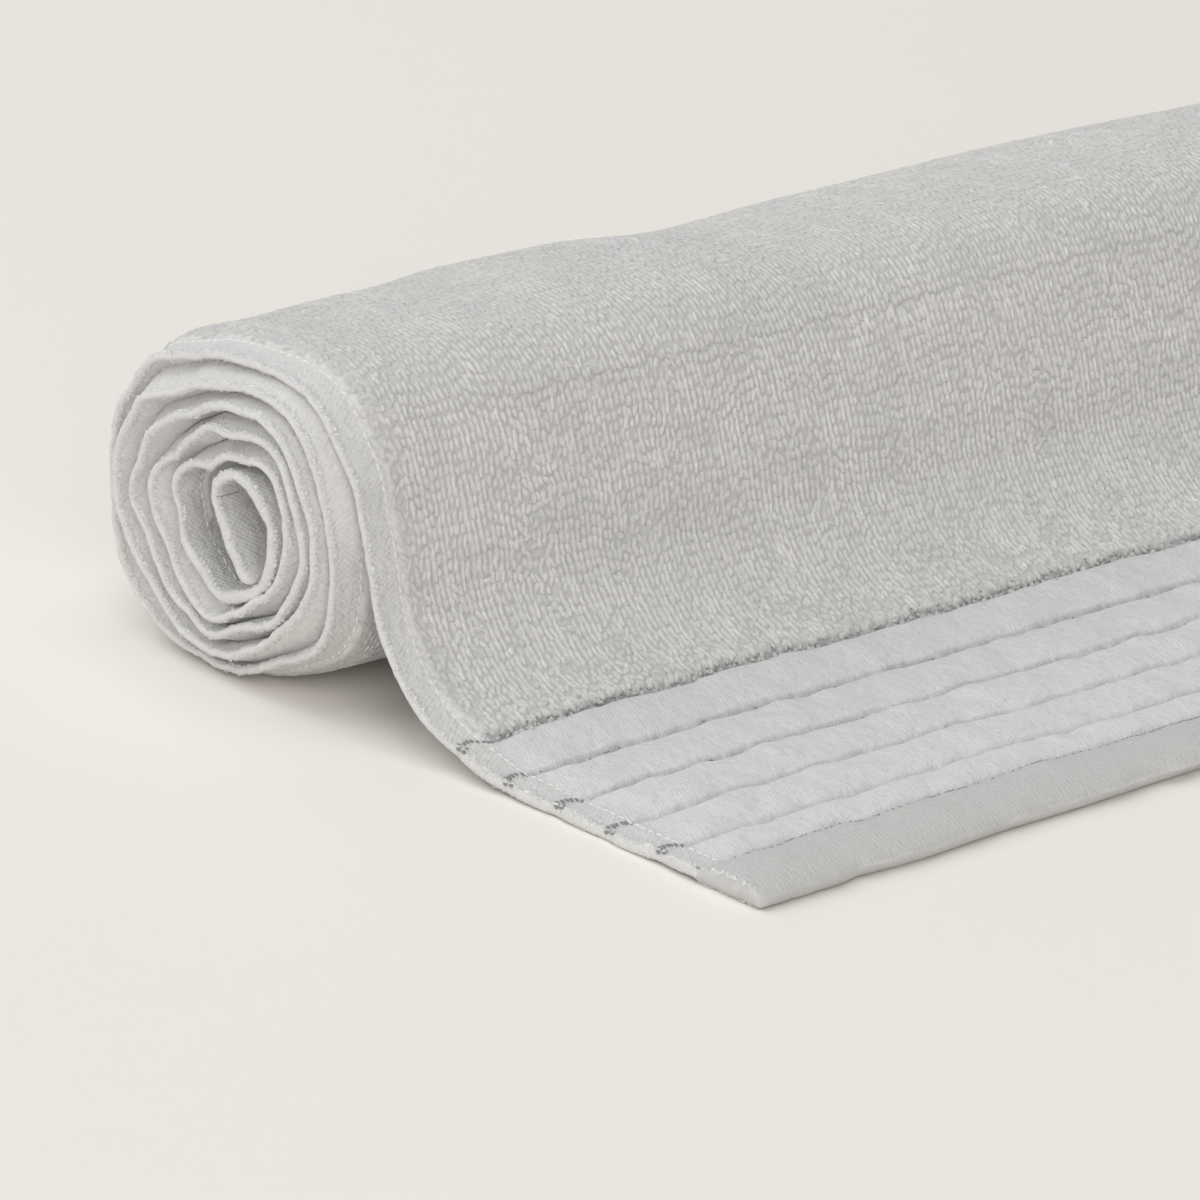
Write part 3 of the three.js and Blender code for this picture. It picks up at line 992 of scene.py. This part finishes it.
def lay_loops(name, along, across, side, material, seed, full=1.0):
    """Cotton loops at the given places: ridges of grains that lie along the cloth, and lean this
    way and that in patches."""
    sizes = bpy.context.scene.towel_sizes
    rng = np.random.default_rng(seed)
    count = len(along)
    patch = uneven(LOOP_PATCHES, across, along)
    brushed = soft_noise(across / 16.0 + 9, along / 16.0, 63) + 0.25 * rng.normal(size=count)
    brushed = smoothstep(0.35, 0.95, brushed)
    from_side = from_nearest_side(across)
    brushed = np.maximum(brushed, 0.75 * smoothstep(SIDE_HEM + 12, SIDE_HEM + 2, from_side))
    brushed = np.maximum(brushed, 0.8 * smoothstep(BORDER_DEPTH + 24, BORDER_DEPTH + 4, along))
    spin = 0.22 * patch + rng.normal(size=count) * (0.10 + 0.55 * brushed) * sizes.disorder
    lean = 0.5 * soft_noise(across / 8.0, along / 8.0, 64) + rng.normal(size=count) * 0.2
    along = along + 1.5 * soft_noise(across / 2.3, along / 30.0, 65) * sizes.disorder
    along = along + rng.normal(size=count) * (0.25 + 0.4 * brushed)
    across = across + rng.normal(size=count) * (0.13 + 0.25 * brushed)
    height = sizes.loop_height * full * (1 + 0.13 * patch + 0.12 * rng.normal(size=count) - 0.1 * brushed)
    height = height * (0.55 + 0.45 * smoothstep(SIDE_HEM + 1, SIDE_HEM + 10, from_side))
    width = sizes.loop_across * LOOP_HALF_WIDTH * (1 + 0.10 * rng.normal(size=count) + 0.12 * brushed)
    reach = sizes.loop_along * LOOP_HALF_LENGTH * (1 + 0.13 * rng.normal(size=count) - 0.10 * brushed)
    height = height * (1 - PRESSED * smoothstep(0.08, 0.2, turn_at(along)))
    height = np.maximum(height, 0.3 * sizes.loop_height) + ROOTED * MM
    grain = np.stack([width, reach, height], axis=-1)
    centres = cloth_points(along, across, side, -ROOTED)
    axes = cloth_axes(along, across, side)
    lay_forms(name, small_dome(5, 2), centres, axes, grain, spin, material, lean)


def lay_threads(name, along, across, side, lift, size, spin, material, detail=(6, 1)):
    """Short lengths of thread or yarn lying on the cloth, one at each place."""
    centres = cloth_points(along, across, side, lift - ROOTED, sunk=0)
    axes = cloth_axes(along, across, side)
    sizes = np.broadcast_to(size, (len(along), 3)) + np.array((0, 0, ROOTED * MM))
    lay_forms(name, small_dome(*detail), centres, axes, sizes, spin, material)


def grid_places(rows, columns):
    """Each place of a grid on the cloth: along, then across."""
    return (places.ravel() for places in np.meshgrid(rows, columns, indexing="ij"))


class TOWEL_OT_pile(bpy.types.Operator):
    """Stand the pile's loops on every part of the cloth that can be seen"""

    bl_idname = "towel.pile"
    bl_label = "Pile loops"

    def execute(self, context):
        sizes = context.scene.towel_sizes
        colours = context.scene.towel_colours
        material = pile_material("loop_yarn", colours.cotton, 1500.0, 0.0002)
        first = BORDER_DEPTH + 2.2
        along = np.arange(first, OUTER_TURN_END + 4, sizes.loop_along / MM)
        across = np.arange(SIDE_HEM + 1.2, CLOTH_WIDTH - SIDE_HEM - 1.1, sizes.loop_across / MM)
        strips = 4
        for number, rows in enumerate(np.array_split(along, strips), start=1):
            lay_loops(f"pile_loops_{number}", *grid_places(rows, across), 1, material, 70 + number)

        edge = SIDE_HEM + 1.2 + sizes.loop_across / MM * np.arange(4)
        edge = np.concatenate([edge, CLOTH_WIDTH - edge])
        rows = np.arange(first, OUTER_TURN_START, sizes.loop_along / MM)
        lay_loops("back_loops", *grid_places(rows, edge), -1, material, 80, 0.8)

        rng = np.random.default_rng(88)
        stray_across = np.arange(SIDE_HEM + 1.5, CLOTH_WIDTH - SIDE_HEM - 1.5, 1.7)
        stray_across = stray_across + rng.normal(size=len(stray_across)) * 0.6
        stray_along = BORDER_DEPTH + 0.4 + rng.normal(size=len(stray_across)) * 1.0
        size = np.stack([
            least * (1 + more * rng.random(len(stray_across))) for least, more in STRAY_LOOP_SIZES
        ], axis=-1)
        spin = rng.normal(size=len(stray_across)) * 0.8
        lay_threads("stray_loops", stray_along, stray_across, 1, 0.0, size, spin, material)
        return {"FINISHED"}


class TOWEL_OT_selvedge(bpy.types.Operator):
    """Bind the selvedges with small ribs of yarn that wrap over the edge"""

    bl_idname = "towel.selvedge"
    bl_label = "Selvedge ribs"

    def execute(self, context):
        # The selvedge yarn is coloured lighter than the cotton: a painted highlight for the light the
        # rounded edge catches
        material = pile_material("selvedge_yarn_painted_highlight", context.scene.towel_colours.selvedge, 1500.0, 0.0002)
        rng = np.random.default_rng(101)
        row = np.arange(3.5, CLOTH_LENGTH - 3.5, 1.1)
        for name, side in (("selvedge_ribs_face", 1), ("selvedge_ribs_back", -1)):
            along = np.tile(row, 2) + rng.normal(size=2 * len(row)) * 0.2
            from_side = 1.5 + rng.normal(size=len(along)) * 0.25
            across = np.where(np.arange(len(along)) < len(row), from_side, CLOTH_WIDTH - from_side)
            size = np.stack([
                usual * (1 + spread * rng.normal(size=len(along))).clip(least, most)
                for usual, spread, least, most in RIB_SIZES
            ], axis=-1)
            spin = rng.normal(size=len(along)) * 0.3
            lay_threads(name, along, across, side, -0.08, size, spin, material, (5, 2))
        return {"FINISHED"}


# Sewing and grey border threads


class TOWEL_OT_sewing(bpy.types.Operator):
    """Sew the side hems and the end hems down with a row of lockstitches"""

    bl_idname = "towel.sewing"
    bl_label = "Hem stitching"

    def execute(self, context):
        sizes = context.scene.towel_sizes
        material = thread_material("sewing_thread", context.scene.towel_colours.sewing, 0.2)
        stitch = sizes.stitch / MM
        rng = np.random.default_rng(91)
        from_side, from_hem = SIDE_HEM - SIDE_STITCH_INSET, END_HEM - END_STITCH_INSET
        down = np.arange(END_HEM + 3, CLOTH_LENGTH - END_HEM - 3, stitch)
        for name, side in (("side_stitches_face", 1), ("side_stitches_back", -1)):
            along = np.tile(down, 2) + rng.normal(size=2 * len(down)) * 0.1
            across = np.repeat([from_side, CLOTH_WIDTH - from_side], len(down))
            spin = 0.12 + 0.05 * rng.normal(size=len(along))
            lay_threads(name, along, across, side, 0.0, STITCH_SIZE, spin, material, (6, 2))

        over = np.arange(5, CLOTH_WIDTH - 4, stitch)
        across = np.tile(over, 2)
        along = np.repeat([from_hem, CLOTH_LENGTH - from_hem], len(over))
        spin = math.pi / 2 + 0.1 + 0.05 * rng.normal(size=len(along))
        name = "end_hem_stitches"
        lay_threads(name, along, across, 1, -0.15, STITCH_SIZE, spin, material, (6, 2))
        return {"FINISHED"}


class TOWEL_OT_border_threads(bpy.types.Operator):
    """Lay the grey threads in the border's sunk lines and their checks on the side hems"""

    bl_idname = "towel.border_threads"
    bl_label = "Grey border threads"

    def execute(self, context):
        material = thread_material("grey_thread", context.scene.towel_colours.grey_thread, 0.1)
        rng = np.random.default_rng(95)
        along, across, half_lengths = [], [], []
        for line, (pitch, share, spread, aside) in zip(BORDER_LINES, THREADS_IN_LINES):
            places = np.arange(SIDE_HEM - 1, CLOTH_WIDTH - SIDE_HEM + 1, pitch)
            patchy = soft_noise(places / 14.0, line, 96) * 0.45 + rng.random(len(places))
            kept = places[patchy < share]
            across.append(kept + rng.normal(size=len(kept)) * 0.3)
            along.append(line + aside + rng.normal(size=len(kept)) * spread)
            half_lengths.append(0.0005 * (1 + 0.8 * rng.random(len(kept))))
        along, across, half_lengths = map(np.concatenate, (along, across, half_lengths))
        spin = math.pi / 2 + 0.35 * rng.normal(size=len(along))
        thin = np.full(len(along), 0.00024)
        size = np.stack([thin, half_lengths, 0.8 * thin], axis=-1)
        lay_threads("border_grey_threads", along, across, 1, 0.05, size, spin, material)

        across = np.arange(1.0, CLOTH_WIDTH - 1.0, 1.3)
        along = CLOTH_LENGTH - INNER_SEAM + 0.15 * rng.normal(size=len(across))
        spin = math.pi / 2 + 0.12 * rng.normal(size=len(across))
        name = "inner_seam_threads"
        lay_threads(name, along, across, -1, 0.0, SEAM_THREAD_SIZE, spin, material, (5, 1))

        marks = [(END_HEM + 0.6, place, 0.5, 1.1, -0.3) for place in (1.6, CLOTH_WIDTH - 1.6)]
        for line in BORDER_LINES[1:]:
            for far in (False, True):
                for from_side, step, half_width, half_length in HEM_MARKS:
                    stray = rng.normal(size=2) * 0.14
                    place = from_side + stray[0]
                    marks.append((
                        line + step + stray[1], CLOTH_WIDTH - place if far else place,
                        half_width, half_length, -0.4 + 0.2 * rng.normal(),
                    ))
        along, across, half_widths, half_lengths, spin = np.array(marks).T
        size = np.stack([half_widths, half_lengths, np.full(len(along), 0.14)], axis=-1) * MM
        lay_threads("side_hem_marks", along, across, 1, 0.1, size, spin, material, (8, 2))
        return {"FINISHED"}


# Floor, lights and camera


TABLE_SIZE = 14
# Name, power, size, place and colour of the soft lights
LIGHTS = (
    ("top_light", 285, 7, (0, 0, 9), (0.98, 0.99, 1.0)),
    ("back_light", 300, 8, (-4.7, 5.1, 6.3), (0.98, 0.99, 1.0)),
    ("front_light", 390, 7, (-5.5, -5.6, 3.4), (1.0, 0.985, 0.965)),
    ("far_light", 195, 8, (0.4, 7.6, 5.6), (0.98, 0.99, 1.0)),
)


def view_axes(sizes):
    """The photograph's view: right, up and forward, from its pitch, its turn and its tilt."""
    pitch, turn, tilt = sizes.view_pitch, sizes.view_turn, sizes.view_tilt
    level = Vector((math.cos(turn), math.sin(turn), 0))
    side = Vector((math.sin(turn), -math.cos(turn), 0))
    above = Vector((0, 0, 1))
    forward = math.cos(pitch) * level - math.sin(pitch) * above
    upright = math.sin(pitch) * level + math.cos(pitch) * above
    right = math.cos(tilt) * side + math.sin(tilt) * upright
    up = -math.sin(tilt) * side + math.cos(tilt) * upright
    return right, up, forward


class TOWEL_OT_studio(bpy.types.Operator):
    """Set up the pale table, the soft lights and the camera"""

    bl_idname = "towel.studio"
    bl_label = "Studio"

    def execute(self, context):
        studio = context.scene.towel_studio
        deselect()
        bpy.ops.mesh.primitive_plane_add(size=TABLE_SIZE, location=(0, 0, 0))
        table = context.active_object
        table.name = "table_top"
        material, tree, shader = new_material("pale_table", studio.table_color, 0.95, 0.0)
        shade = add_mottle(tree, object_place(tree), studio.table_color, *TABLE_MOTTLE)
        tree.links.new(shade, shader.inputs["Base Color"])
        table.data.materials.append(material)

        world = bpy.data.worlds.new("studio_air")
        world.use_nodes = True
        world.node_tree.nodes["Background"].inputs["Color"].default_value = (*studio.air_color, 1)
        world.node_tree.nodes["Background"].inputs["Strength"].default_value = studio.air
        context.scene.world = world
        for name, power, size, place, color in LIGHTS:
            self.add_light(name, power, size, Vector(place), color)

        camera = bpy.data.cameras.new("camera")
        camera.sensor_width = SENSOR_MM
        camera.lens = FOCAL_PIXELS / PHOTO_PIXELS * SENSOR_MM
        camera.clip_end = 50
        right, up, forward = view_axes(studio)
        corner = Vector((towel_low.x + MOST_OUT * MM, towel_low.y, 0))
        middle = PHOTO_PIXELS / 2
        aside = (CORNER_PIXEL[0] - middle) / FOCAL_PIXELS
        below = (CORNER_PIXEL[1] - middle) / FOCAL_PIXELS
        distance = FOCAL_PIXELS * MM_PER_PIXEL * MM
        eye = corner - distance * (aside * right - below * up + forward)
        holder = bpy.data.objects.new("camera", camera)
        turned = Matrix((right, up, -forward)).transposed().to_4x4()
        holder.matrix_world = Matrix.Translation(eye) @ turned
        context.collection.objects.link(holder)
        context.scene.camera = holder
        context.scene.view_settings.view_transform = "Standard"
        return {"FINISHED"}

    def add_light(self, name, power, size, place, color):
        light = bpy.data.lights.new(name, "AREA")
        light.energy = power
        light.size = size
        light.color = color
        lamp = bpy.data.objects.new(name, light)
        lamp.location = place
        lamp.rotation_euler = (-place).to_track_quat("-Z", "Y").to_euler()
        bpy.context.collection.objects.link(lamp)


# Settings, panel and registration


class TowelSizes(bpy.types.PropertyGroup):
    """Sizes of the pile and the sewing"""

    loop_across: bpy.props.FloatProperty(
        name="Loop Pitch Across", description="From one loop to the next across the cloth",
        default=0.00215, unit="LENGTH", precision=5)
    loop_along: bpy.props.FloatProperty(
        name="Loop Pitch Along", description="From one row of loops to the next",
        default=0.0034, unit="LENGTH", precision=5)
    loop_height: bpy.props.FloatProperty(
        name="Loop Height", description="How far a loop stands above the cloth's ground",
        default=0.00078, unit="LENGTH", precision=5)
    disorder: bpy.props.FloatProperty(
        name="Disorder", description="How unevenly the loops lie", subtype="FACTOR",
        default=1.0, min=0, soft_max=2)
    stitch: bpy.props.FloatProperty(
        name="Stitch Length", description="From one hem stitch to the next",
        default=0.0032, unit="LENGTH", precision=5)


class TowelColours(bpy.types.PropertyGroup):
    """Colours of the cotton and its threads"""

    cotton: bpy.props.FloatVectorProperty(
        name="Cotton", description="White cotton of the loops", subtype="COLOR",
        size=3, min=0, max=1, default=(0.668, 0.66, 0.648))
    side_hem: bpy.props.FloatVectorProperty(
        name="Side Hem", description="The plain woven hems along both sides", subtype="COLOR",
        size=3, min=0, max=1, default=(0.705, 0.698, 0.686))
    band: bpy.props.FloatVectorProperty(
        name="Bands", description="The smooth bands of the woven border", subtype="COLOR",
        size=3, min=0, max=1, default=(0.73, 0.728, 0.725))
    # Darker than the bands' white cotton: painted shade for the rolled hem's shaded faces
    end_hem: bpy.props.FloatVectorProperty(
        name="End Hem", description="The rolled hem at either end", subtype="COLOR",
        size=3, min=0, max=1, default=(0.59, 0.585, 0.575))
    # Lighter than the cotton: a painted highlight for the light the rounded selvedge catches
    selvedge: bpy.props.FloatVectorProperty(
        name="Selvedge", description="The yarn that binds the side edges", subtype="COLOR",
        size=3, min=0, max=1, default=(0.80, 0.80, 0.80))
    # Lighter than the loops' cotton: painted fill light for the shade between the loops
    ground: bpy.props.FloatVectorProperty(
        name="Ground", description="The woven ground between the loops", subtype="COLOR",
        size=3, min=0, max=1, default=(0.74, 0.732, 0.72))
    grey_thread: bpy.props.FloatVectorProperty(
        name="Grey Thread", description="The thread in the border's sunk lines", subtype="COLOR",
        size=3, min=0, max=1, default=(0.28, 0.28, 0.28))
    sewing: bpy.props.FloatVectorProperty(
        name="Sewing Thread", description="The thread of the hem stitches", subtype="COLOR",
        size=3, min=0, max=1, default=(0.88, 0.88, 0.88))


class TowelStudio(bpy.types.PropertyGroup):
    """The table, the light and the view"""

    table_color: bpy.props.FloatVectorProperty(
        name="Table", description="Colour of the table top", subtype="COLOR",
        size=3, min=0, max=1, default=(0.915, 0.88, 0.828))
    air_color: bpy.props.FloatVectorProperty(
        name="Air", description="Colour of the light from all around", subtype="COLOR",
        size=3, min=0, max=1, default=(1.0, 1.0, 1.0))
    air: bpy.props.FloatProperty(
        name="Air Strength", description="Strength of the light from all around", default=0.12, min=0)
    view_pitch: bpy.props.FloatProperty(
        name="View Pitch", description="How far the camera looks down", subtype="ANGLE",
        default=math.radians(20.46))
    view_turn: bpy.props.FloatProperty(
        name="View Turn", description="The camera's direction, from the roll's own", subtype="ANGLE",
        default=math.radians(46.21))
    view_tilt: bpy.props.FloatProperty(
        name="View Tilt", description="How far the camera is rolled", subtype="ANGLE",
        default=math.radians(3.37))


class TOWEL_PT_panel(bpy.types.Panel):
    """Lists the towel's pieces and settings"""

    bl_label = "Rolled Bath Towel"
    bl_space_type = "VIEW_3D"
    bl_region_type = "UI"
    bl_category = "Towel"

    def draw(self, context):
        column = self.layout.column()
        for operator in OPERATORS:
            column.operator(operator.bl_idname)
        for group in (context.scene.towel_sizes, context.scene.towel_colours, context.scene.towel_studio):
            box = self.layout.box()
            for name in group.bl_rna.properties.keys():
                if name not in ("rna_type", "name"):
                    box.prop(group, name)


OPERATORS = (
    TOWEL_OT_studio,
    TOWEL_OT_cloth,
    TOWEL_OT_pile,
    TOWEL_OT_selvedge,
    TOWEL_OT_sewing,
    TOWEL_OT_border_threads,
)
SETTINGS = {"towel_sizes": TowelSizes, "towel_colours": TowelColours, "towel_studio": TowelStudio}


def register():
    for cls in (*SETTINGS.values(), *OPERATORS, TOWEL_PT_panel):
        bpy.utils.register_class(cls)
    for name, cls in SETTINGS.items():
        setattr(bpy.types.Scene, name, bpy.props.PointerProperty(type=cls))


def unregister():
    for name in SETTINGS:
        delattr(bpy.types.Scene, name)
    for cls in (TOWEL_PT_panel, *reversed(OPERATORS), *reversed(list(SETTINGS.values()))):
        bpy.utils.unregister_class(cls)


def main():
    register()
    for operator in (
        bpy.ops.towel.studio,
        bpy.ops.towel.cloth,
        bpy.ops.towel.pile,
        bpy.ops.towel.selvedge,
        bpy.ops.towel.sewing,
        bpy.ops.towel.border_threads,
    ):
        operator()


if __name__ == "__main__":
    main()
